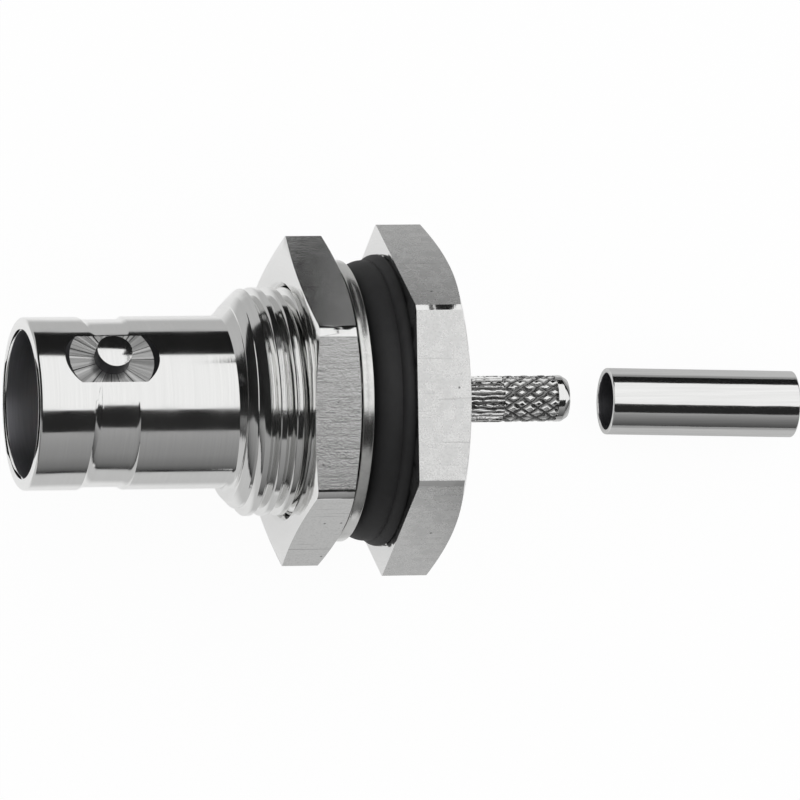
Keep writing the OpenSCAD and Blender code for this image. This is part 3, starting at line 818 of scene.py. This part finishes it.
class JACK_OT_body(bpy.types.Operator):
    """Turns and mills the jack's body from one bar"""
    bl_idname = "jack.body"
    bl_label = "Body"

    def execute(self, context):
        s = context.scene.jack
        colours = context.scene.finishes
        turned = turned_nickel(colours.nickel)
        flats = bar_nickel(colours.bar_nickel, "nickel_plate_flange_bar", roughness=(0.22, 0.32),
                           dent_depth=0.0025 * MM, darkest=0.85)
        milled = milled_nickel(colours.nickel, s)
        # the walls' dark nickel is painted shade
        wall_shade = painted_shade_nickel(colours.wall_shade_nickel, "nickel_plate_painted_wall_shade")
        body = body_core(s, turned, painted_shade_nickel(colours.bore_nickel_painted_shade, "nickel_plate_bored_painted_shade"))
        for side in (0, math.pi):
            combine(body, groove_cutter(s, turned, side), "DIFFERENCE")
        for side in (0, math.pi):
            combine(body, milled_cutter(s, milled, wall_shade, side), "DIFFERENCE")
            combine(body, bayonet_lug(s, turned, wall_shade, side), "UNION")
        absorb(body, turned_flange(s, flats, turned, knocked_edge_painted_shade_nickel(colours.nickel)))
        absorb(body, thread_helix(s, turned))
        finish_piece(body, "jack_body", "connector", ["body_shell"], crease=22)
        return {"FINISHED"}


class JACK_OT_seal(bpy.types.Operator):
    """Moulds the rubber sealing ring: a round section with a bead that fills the flange's recess"""
    bl_idname = "jack.seal"
    bl_label = "Sealing ring"

    def execute(self, context):
        s = context.scene.fasteners
        r, bead = s.seal_section, s.seal_bead
        rear = SEAL_HIGH.x
        ring = Vector((rear - r, SEAL_HIGH.z - r))
        lobe = Vector((rear - bead, SEAL_HIGH.z + s.seal_lip - bead))
        apart = (lobe - ring).length
        along = (r ** 2 - bead ** 2 + apart ** 2) / (2 * apart)
        facing = math.degrees(math.atan2(*reversed(lobe - ring)))
        ring_turn = facing + math.degrees(math.acos(along / r))
        lobe_turn = facing + math.degrees(math.acos((along - apart) / bead))
        bm = bmesh.new()
        lathe(bm, arc(ring, r, ring_turn, 360, 36) + arc(lobe, bead, 0, lobe_turn, 16),
              context.scene.jack.segments, closed=True)
        seal = scratch(bm, "seal", moulded_rubber(context.scene.finishes.rubber))
        finish_piece(seal, "rubber_sealing_ring", "connector", ["sealing_ring"])
        return {"FINISHED"}


class JACK_OT_washer(bpy.types.Operator):
    """Stamps the lock washer with its twisted teeth"""
    bl_idname = "jack.washer"
    bl_label = "Lock washer"

    def execute(self, context):
        s = context.scene.fasteners
        outer = WASHER_HIGH.z
        inner = outer - s.washer_rim
        middle = (WASHER_LOW.x + WASHER_HIGH.x) / 2
        half = s.washer_thick / 2
        bm = bmesh.new()
        section = [(middle - half, inner), (middle - half, outer), (middle + half, outer), (middle + half, inner)]
        lathe(bm, section, context.scene.jack.segments, closed=True)
        break_edges(bm, 0.08 * MM, sharper_than=40, steps=3)
        root = 0.15 * MM                   # the end of each tooth that is inside the rim
        reach = inner - s.nut_bore + root
        for i in range(s.tooth_count):
            place = (Matrix.Rotation(TURN * i / s.tooth_count, 4, "X")
                     @ Matrix.Translation((middle, 0, s.nut_bore + reach / 2))
                     @ Matrix.Rotation(s.tooth_twist, 4, "Z"))
            tooth = bmesh.ops.create_cube(bm, size=1.0, matrix=place @ Matrix.Diagonal(
                (s.washer_thick, s.tooth_width, reach, 1)))
            edges = {e for v in tooth["verts"] for e in v.link_edges}
            bmesh.ops.bevel(bm, geom=list(edges), offset=0.05 * MM, offset_type="OFFSET", segments=2,
                            profile=0.5, affect="EDGES", clamp_overlap=True, material=-1)
        washer = scratch(bm, "washer", spring_nickel(context.scene.finishes.spring_nickel))
        finish_piece(washer, "toothed_lock_washer", "washer", ["lock_washer"])
        return {"FINISHED"}


class JACK_OT_nut(bpy.types.Operator):
    """Cuts the panel nut from hexagonal bar"""
    bl_idname = "jack.nut"
    bl_label = "Panel nut"

    def execute(self, context):
        s = context.scene.fasteners
        flat_r = s.nut_flats / 2
        rim = flat_r * CORNER_REACH
        front, rear = NUT_LOW.x, NUT_HIGH.x
        lead = s.nut_lead
        outline = [(front, s.nut_bore + lead), (front, flat_r),
                   (front + rim * math.tan(s.nut_front), flat_r + rim),
                   (rear - rim * math.tan(s.nut_rear), flat_r + rim), (rear, flat_r),
                   (rear, s.nut_bore + lead), (rear - lead, s.nut_bore), (front + lead, s.nut_bore)]
        bm = bmesh.new()
        lathe(bm, outline, context.scene.jack.segments, closed=True)
        turned = turned_nickel(context.scene.finishes.nickel)
        envelope = scratch(bm, "envelope", turned)
        prism = hexagonal_bar(s.nut_flats, front - MM, rear + MM, s.nut_edge, s.nut_side_edge,
                              turn=s.nut_turn, steps=4)
        flats = bar_nickel(context.scene.finishes.bar_nickel, "nickel_plate_nut_bar", roughness=(0.15, 0.22),
                           dent_depth=0.004 * MM, darkest=0.72)
        nut = scratch(prism, "nut", flats, turned, knocked_edge_painted_shade_nickel(context.scene.finishes.nickel))
        combine(nut, envelope, "INTERSECT")
        polish_edges(nut, 1.2 * context.scene.jack.broken_edge, BAR_EDGE, polish=2)
        finish_piece(nut, "hexagonal_panel_nut", "nut", ["hex_nut"])
        return {"FINISHED"}


def zigzag(repeats):
    """Runs from 1 down to 0 and back in each repeat"""
    return abs(2 * (repeats % 1) - 1)


def knurl_depth(s, x, turn, start, middle, end):
    """How deep the knurl is cut at one place of the stub, from 0 on a crest to 1 in a groove"""
    if x < start or x > end:
        return 0.0
    if x < middle:
        crest, flank = 0.25, 0.6           # shares of a straight ridge that are flat and that slope
        wave = zigzag(turn * s.ridge_count / TURN)
    else:
        crest, flank = 0.38, 0.5
        lighter = 0.9                      # the second roller cuts a little less deep
        repeats = turn * s.diamond_count / TURN
        along = (x - middle) / s.diamond_length
        wave = max(zigzag(repeats + along), lighter * zigzag(repeats - along))
    return max(0.0, min(1.0, (wave - crest) / flank))


class JACK_OT_stub(bpy.types.Operator):
    """Turns the crimp stub and rolls its knurl"""
    bl_idname = "jack.stub"
    bl_label = "Crimp stub"

    def execute(self, context):
        s = context.scene.cable_end
        edge = 0.2 * MM
        stub = FLANGE_REAR + s.shoulder_length
        tip = STUB_HIGH.x
        end = tip - s.tip
        middle = end - s.diamonds
        outline = [(STUB_LOW.x, s.core_bore), (STUB_LOW.x, s.bush_radius - edge),
                   (STUB_LOW.x + edge, s.bush_radius), (FLANGE_REAR, s.bush_radius),
                   (FLANGE_REAR, s.shoulder_radius), (stub - edge, s.shoulder_radius),
                   (stub, s.shoulder_radius - edge), (stub, s.stub_radius), (end, s.stub_radius),
                   (tip - s.tip / 2, s.stub_radius), (tip, s.stub_radius - s.tip * 0.3), (tip, s.core_bore)]
        bm = bmesh.new()
        lathe(bm, outline, 10 * s.ridge_count, closed=True)
        break_edges(bm, 0.04 * MM, keep=lambda e: abs(e.verts[0].co.x - stub) > 0.01 * MM)
        row = 0.045 * MM                   # spacing of the rings of vertices that carry the knurl
        ring_cuts(bm, [stub + row * (i + 1) for i in range(int((end - stub) / row))])
        patch = 0.35 * MM                  # size of the patches where the rollers bit more or less deep
        stray = 0.6 * MM                   # length over which a groove strays to one side
        groove = bm.verts.layers.float.new("groove")
        for v in bm.verts:
            radius = v.co.yz.length
            if v.co.x > stub + 0.02 * MM and radius > s.stub_radius - 0.01 * MM:
                turn = math.atan2(v.co.z, v.co.y) + math.pi
                bite = noise.noise(v.co / patch)
                turn += 0.06 * noise.noise(Vector((v.co.x / stray, turn * 3, 0)))
                v[groove] = knurl_depth(s, v.co.x, turn, stub, middle, end)
                depth = v[groove] * s.knurl_depth * (1 + 0.5 * bite)
                v.co.y *= 1 - depth / radius
                v.co.z *= 1 - depth / radius
        for face in bm.faces:
            middle_point = face.calc_center_median()
            knurled = stub < middle_point.x < end and middle_point.yz.length > 1.2 * s.core_bore
            face.material_index = 1 if knurled else 0
        piece = scratch(bm, "stub", turned_nickel(context.scene.finishes.nickel),
                        knurled_nickel(context.scene.finishes.nickel))
        finish_piece(piece, "knurled_crimp_stub", "connector", ["crimp_stub"])
        return {"FINISHED"}


class JACK_OT_ferrule(bpy.types.Operator):
    """Cuts the loose ferrule from drawn tube and lays it on the table"""
    bl_idname = "jack.ferrule"
    bl_label = "Crimp ferrule"

    def execute(self, context):
        s = context.scene.cable_end
        bm = bmesh.new()
        lathe(bm, [(0, s.ferrule_bore), (0, s.ferrule_radius), (s.ferrule_length, s.ferrule_radius),
                   (s.ferrule_length, s.ferrule_bore)], context.scene.jack.segments, closed=True)
        break_edges(bm, 0.09 * MM, sharper_than=40, steps=4)
        for face in bm.faces:
            inside = face.calc_center_median().yz.length < s.ferrule_bore + 0.01 * MM
            face.material_index = 1 if inside else 0
        start = FERRULE_LOW.x + s.ferrule_radius * math.sin(s.ferrule_turn)
        rest = Matrix.Translation((start, 0, FLOOR + s.ferrule_radius))
        bmesh.ops.transform(bm, verts=bm.verts[:], matrix=rest @ Matrix.Rotation(-s.ferrule_turn, 4, "Z"))
        colours = context.scene.finishes
        # the ferrule's bore gets the painted shade of the bores
        ferrule = scratch(bm, "ferrule", drawn_nickel(colours.nickel),
                          painted_shade_nickel(colours.bore_nickel_painted_shade, "nickel_plate_in_tube_painted_shade"))
        finish_piece(ferrule, "loose_crimp_ferrule", "connector", ["crimp_ferrule"])
        return {"FINISHED"}


class JACK_OT_insulators(bpy.types.Operator):
    """Turns the two insulators"""
    bl_idname = "jack.insulators"
    bl_label = "Insulators"

    def execute(self, context):
        s = context.scene.inner
        segments = context.scene.jack.segments // 2
        white = machined_fluoropolymer(context.scene.finishes.fluoropolymer)
        step = MOUTH + context.scene.jack.mouth_depth + context.scene.jack.web + 0.02 * MM
        outlines = {
            "front_insulator_nose": ("front_insulator", [
                (NOSE_LOW.x, s.nose_bore), (NOSE_LOW.x, s.nose_radius), (step, s.nose_radius),
                (step, NOSE_HIGH.z), (NOSE_HIGH.x, NOSE_HIGH.z), (NOSE_HIGH.x, s.nose_bore)]),
            "rear_insulator_bush": ("rear_insulator", [
                (BUSH_LOW.x, s.bush_bore), (BUSH_LOW.x, BUSH_HIGH.z), (BUSH_HIGH.x, BUSH_HIGH.z),
                (BUSH_HIGH.x, s.bush_bore)])}
        for name, (node, outline) in outlines.items():
            bm = bmesh.new()
            lathe(bm, outline, segments, closed=True)
            break_edges(bm, 0.1 * MM, sharper_than=40, steps=3)
            finish_piece(scratch(bm, name, white), name, "connector", [node])
        return {"FINISHED"}


class JACK_OT_contact(bpy.types.Operator):
    """Turns the centre contact and slots its fingers"""
    bl_idname = "jack.contact"
    bl_label = "Centre contact"

    def execute(self, context):
        s = context.scene.inner
        gold = plated_gold(context.scene.finishes.gold)
        front, rear = CONTACT_LOW.x, CONTACT_HIGH.x
        collar = rear - s.cup_length
        cup_floor = rear - 0.7 * s.cup_length
        outline = [(front, s.socket_bore), (front, s.socket_radius),
                   (collar - s.collar_length, s.socket_radius), (collar - s.collar_length, s.collar_radius),
                   (collar, s.collar_radius), (collar, s.cup_radius), (rear, s.cup_radius),
                   (rear, s.cup_bore), (cup_floor, s.cup_bore), (cup_floor, 0)]
        inner = [(front + s.socket_depth, 0), (front + s.socket_depth, s.socket_bore)]
        bm = bmesh.new()
        lathe(bm, inner + outline, context.scene.jack.segments // 2)
        break_edges(bm, 0.06 * MM, sharper_than=40,
                    keep=lambda e: max(v.co.yz.length for v in e.verts) > s.cup_bore)
        contact = scratch(bm, "contact", gold)
        for turn in (math.pi / 4, 3 * math.pi / 4):
            bm = bmesh.new()
            slot = Matrix.Diagonal((2 * s.finger_length, s.finger_slot, 4 * s.socket_radius, 1))
            bmesh.ops.create_cube(bm, size=1.0, matrix=Matrix.Translation((front, 0, 0))
                                  @ Matrix.Rotation(turn, 4, "X") @ slot)
            combine(contact, scratch(bm, "slot", gold), "DIFFERENCE")
        finish_piece(contact, "centre_contact_socket", "connector", ["centre_contact"])
        return {"FINISHED"}


# Studio

def grey(level):
    """A grey of one level, as a colour"""
    return (level, level, level, 1.0)


def glowing(name, level):
    """A card's material: even light of one level"""
    return new_material(name, "ShaderNodeEmission", Color=grey(1.0), Strength=level)[0]


def graded(name, stops):
    """A standing card's material, whose light runs between (height, level) stops from its foot to its top"""
    material, tree, light = new_material(name, "ShaderNodeEmission", Strength=1.0)
    low, high = stops[0][0], stops[-1][0]
    place = add_node(tree, "ShaderNodeTexCoord").outputs["Object"]
    parts = add_node(tree, "ShaderNodeSeparateXYZ", Vector=place)
    share = add_node(tree, "ShaderNodeMapRange", Value=parts.outputs["Z"], From_Min=low, From_Max=high)
    levels = [((z - low) / (high - low), grey(level)) for z, level in stops]
    feed(tree, light, Color=colour_ramp(tree, share.outputs["Result"], levels))
    return material


def hang(bm, name, material, only_reflected=True):
    """Puts a card in the studio, unseen by the camera and without a shadow"""
    card = scratch(bm, name, material)
    card.visible_camera = False
    card.visible_shadow = False
    if only_reflected:
        card.visible_diffuse = False


def drawn_out(points, reach):
    """A card whose section is a line of (y, z) points, drawn out along the axis between two stations"""
    bm = bmesh.new()
    line = [bm.verts.new((reach[0] * MM, y, z)) for y, z in points]
    edges = [bm.edges.new(pair) for pair in zip(line, line[1:])]
    grown = bmesh.ops.extrude_edge_only(bm, edges=edges)
    moved = [v for v in grown["geom"] if isinstance(v, bmesh.types.BMVert)]
    bmesh.ops.translate(bm, verts=moved, vec=((reach[1] - reach[0]) * MM, 0, 0))
    return bm


def around(radius, start, end, steps=24):
    """(y, z) points on an arc over the axis, from one angle off straight up to another, in degrees"""
    turns = [math.radians(start + (end - start) * i / steps) for i in range(steps + 1)]
    return [(radius * MM * math.sin(a), radius * MM * math.cos(a)) for a in turns]


def standing(y, top):
    """(y, z) points of a card that stands on the floor"""
    return [(y * MM, FLOOR), (y * MM, top * MM)]


def lying(near, far):
    """(y, z) points of a card that lies just over the floor"""
    height = FLOOR + 0.1 * MM
    return [(near * MM, height), (far * MM, height)]


def in_reflections(tree, path):
    """1 where a ray comes from a mirror or through a glass, and 0 elsewhere"""
    return add_node(tree, "ShaderNodeMath", {"operation": "MAXIMUM"}, i0=path.outputs["Is Glossy Ray"],
                    i1=path.outputs["Is Transmission Ray"]).outputs["Value"]


def floor_material(rgb):
    """White sheet that keeps the pieces' shadows. The camera sees it nearly evenly white. In the pieces'
    reflections its light falls off on both sides and ends in the dark at the feet of the cards."""
    material, tree, shown = new_material("white_sheet", "ShaderNodeMixShader")
    half_width = 60 * MM
    light_ends = 38 * MM           # where the softbox's light on the sheet ends
    levels = [(-light_ends - MM, 0.02), (-light_ends, 0.64), (-14 * MM, 0.64), (-10 * MM, 1.0), (10 * MM, 1.0),
              (14 * MM, 0.55), (light_ends, 0.55), (light_ends + MM, 0.02)]
    thins_from, thins_to = 8 * MM, 16 * MM
    ferrule_share = 0.62           # the light thins out between those stations, towards the ferrule
    even_share = 0.95              # how evenly white the camera sees the sheet
    place = add_node(tree, "ShaderNodeTexCoord").outputs["Object"]
    parts = add_node(tree, "ShaderNodeSeparateXYZ", Vector=place)
    across = add_node(tree, "ShaderNodeMapRange", Value=parts.outputs["Y"], From_Min=-half_width,
                      From_Max=half_width)
    pool = colour_ramp(tree, across.outputs["Result"],
                       [((y / half_width + 1) / 2, grey(level)) for y, level in levels])
    thinner = add_node(tree, "ShaderNodeMapRange", Value=parts.outputs["X"], From_Min=thins_from,
                       From_Max=thins_to, To_Min=1.0, To_Max=ferrule_share)
    level = add_node(tree, "ShaderNodeVectorMath", {"operation": "SCALE"}, Vector=pool,
                     Scale=thinner.outputs["Result"])
    dimmed = add_node(tree, "ShaderNodeBsdfDiffuse", Color=level.outputs["Vector"])
    even = add_node(tree, "ShaderNodeEmission", Color=level.outputs["Vector"], Strength=1.0)
    mirrored = add_node(tree, "ShaderNodeMixShader", i0=0.5, i1=dimmed.outputs["BSDF"],
                        i2=even.outputs["Emission"])
    sheet = add_node(tree, "ShaderNodeBsdfDiffuse", Color=list(rgb) + [1.0])
    lit = add_node(tree, "ShaderNodeEmission", Color=grey(1.0), Strength=1.0)
    seen = add_node(tree, "ShaderNodeMixShader", i0=even_share, i1=sheet.outputs["BSDF"],
                    i2=lit.outputs["Emission"])
    path = add_node(tree, "ShaderNodeLightPath")
    direct = add_node(tree, "ShaderNodeMixShader", i0=path.outputs["Is Camera Ray"], i1=sheet.outputs["BSDF"],
                      i2=seen.outputs["Shader"])
    feed(tree, shown, i0=in_reflections(tree, path), i1=direct.outputs["Shader"],
         i2=mirrored.outputs["Shader"])
    return material


def white_surroundings():
    """The world: white to the camera and in reflections, and a little dimmer as light on the pieces"""
    world = bpy.data.worlds.new("studio")
    world.use_nodes = True
    tree = world.node_tree
    tree.nodes.clear()
    path = add_node(tree, "ShaderNodeLightPath")
    shown = add_node(tree, "ShaderNodeMath", {"operation": "MAXIMUM"}, i0=path.outputs["Is Camera Ray"],
                     i1=in_reflections(tree, path))
    level = add_node(tree, "ShaderNodeMapRange", Value=shown.outputs["Value"], To_Min=0.75, To_Max=1.0)
    sky = add_node(tree, "ShaderNodeBackground", Color=grey(1.0), Strength=level.outputs["Result"])
    add_node(tree, "ShaderNodeOutputWorld", Surface=sky.outputs["Background"])
    return world


class JACK_OT_studio(bpy.types.Operator):
    """Lays the floor, hangs the softbox and the cards, and sets the camera"""
    bl_idname = "jack.studio"
    bl_label = "Studio"

    def execute(self, context):
        s = context.scene.studio
        scene = context.scene
        scene.view_settings.view_transform = "Standard"
        scene.world = white_surroundings()

        bm = bmesh.new()
        bmesh.ops.create_grid(bm, x_segments=1, y_segments=1, size=2.0,
                              matrix=Matrix.Translation((0, 0, FLOOR)))
        floor = scratch(bm, "floor", floor_material(s.floor_colour))
        self.hang_cards(s)

        camera = bpy.data.cameras.new("camera")
        camera.lens = s.camera_lens
        camera.sensor_width = 36.0
        camera.clip_start = 0.01
        camera.clip_end = 10.0
        eye = bpy.data.objects.new("camera", camera)
        turn = Euler((s.camera_pitch, s.camera_yaw, s.camera_roll), "XYZ")
        eye.rotation_euler = turn
        eye.location = Vector((s.aim_x, 0, 0)) + turn.to_matrix() @ Vector((0, 0, s.camera_distance))
        scene.collection.objects.link(eye)
        scene.camera = eye
        return {"FINISHED"}

    def hang_cards(self, s):
        """Hangs the softbox and the cards that draw the dark and grey bands in the bright metal. Their
        places are in millimetres, and each name says which piece shows the card."""
        black = glowing("black_velvet", s.black_level)
        gap = glowing("dark_studio", s.gap_level)
        white = glowing("softbox_cloth", s.softbox_level)
        top = s.grey_level
        tall = graded("grey_card_tall", [(FLOOR, 0.2 * top), (-MM, 0.46 * top), (15 * MM, 0.7 * top),
                                         (62 * MM, top)])
        low = graded("grey_card_low", [(FLOOR, 0.18 * top), (-2 * MM, 0.28 * top), (18 * MM, 0.52 * top),
                                       (52 * MM, top)])
        everywhere, jack_side, ferrule_side = (-600, 600), (-600, 24), (24, 600)
        edge = -10.6               # the softbox's near edge, in degrees off straight up
        hang(drawn_out(around(300, edge, 92), everywhere), "softbox", white, only_reflected=False)
        for name, points, reach, material in (
                ("tall_black_flag", standing(53.5, 27.8), jack_side, black),
                ("low_black_flag", standing(53.5, 16.3), ferrule_side, black),
                ("tall_grey_card", standing(-50, 62), jack_side, tall),
                ("low_grey_card", standing(-50, 52), ferrule_side, low),
                ("middle_black_flag", standing(53, 44), (6, 24), black),
                ("thread_flag", around(60, -12, 62), (7.3, 8.9), black),
                ("nut_flag", around(60, -30, -15.5), (8.9, 13), black),
                ("nut_light", around(300, -14.5, edge), (72.5, 90), white),
                ("washer_light", around(40, 20, 105), (5.6, 6.5), glowing("washer_card", 0.9)),
                ("nut_shade", lying(31.5, 38.8), (1.5, 9.5), gap),
                ("flange_light", lying(-49.9, -36), (1.5, 10.5), glowing("flange_card", 0.8)),
                # a black card lying under the mouth: a painted shadow of the barrel on the floor, seen in the
                # mouth's rim
                ("mouth_painted_shadow", lying(-2.6, 2.6), (-60, -21.2), black),
                ("dark_gap", around(310, edge, -60), everywhere, gap)):
            hang(drawn_out(points, reach), name, material)
        upright = Matrix.Translation((-0.25, 0, FLOOR + 0.5)) @ Matrix.Rotation(math.pi / 2, 4, "Y")
        bm = bmesh.new()
        bmesh.ops.create_grid(bm, x_segments=1, y_segments=1, size=0.5, matrix=upright)
        hang(bm, "end_flag", black)


OPERATORS = (JACK_OT_studio, JACK_OT_body, JACK_OT_seal, JACK_OT_washer, JACK_OT_nut, JACK_OT_stub,
             JACK_OT_ferrule, JACK_OT_insulators, JACK_OT_contact)


class JACK_PT_panel(bpy.types.Panel):
    """Lists the jack's pieces and its sizes"""
    bl_idname = "JACK_PT_panel"
    bl_label = "Bayonet Jack"
    bl_space_type = "VIEW_3D"
    bl_region_type = "UI"
    bl_category = "Bayonet Jack"

    def draw(self, context):
        layout = self.layout
        for operator in OPERATORS:
            layout.operator(operator.bl_idname)
        for name, group in GROUPS.items():
            box = layout.box()
            box.label(text=group.__doc__)
            for key in group.__annotations__:
                box.prop(getattr(context.scene, name), key)


def register():
    for group in GROUPS.values():
        bpy.utils.register_class(group)
    for name, group in GROUPS.items():
        setattr(bpy.types.Scene, name, PointerProperty(type=group))
    for cls in OPERATORS + (JACK_PT_panel,):
        bpy.utils.register_class(cls)


def unregister():
    for cls in reversed(OPERATORS + (JACK_PT_panel,)):
        bpy.utils.unregister_class(cls)
    for name, group in GROUPS.items():
        delattr(bpy.types.Scene, name)
        bpy.utils.unregister_class(group)


def main():
    register()
    bpy.ops.jack.studio()
    bpy.ops.jack.body()
    bpy.ops.jack.seal()
    bpy.ops.jack.washer()
    bpy.ops.jack.nut()
    bpy.ops.jack.stub()
    bpy.ops.jack.ferrule()
    bpy.ops.jack.insulators()
    bpy.ops.jack.contact()


if __name__ == "__main__":
    main()
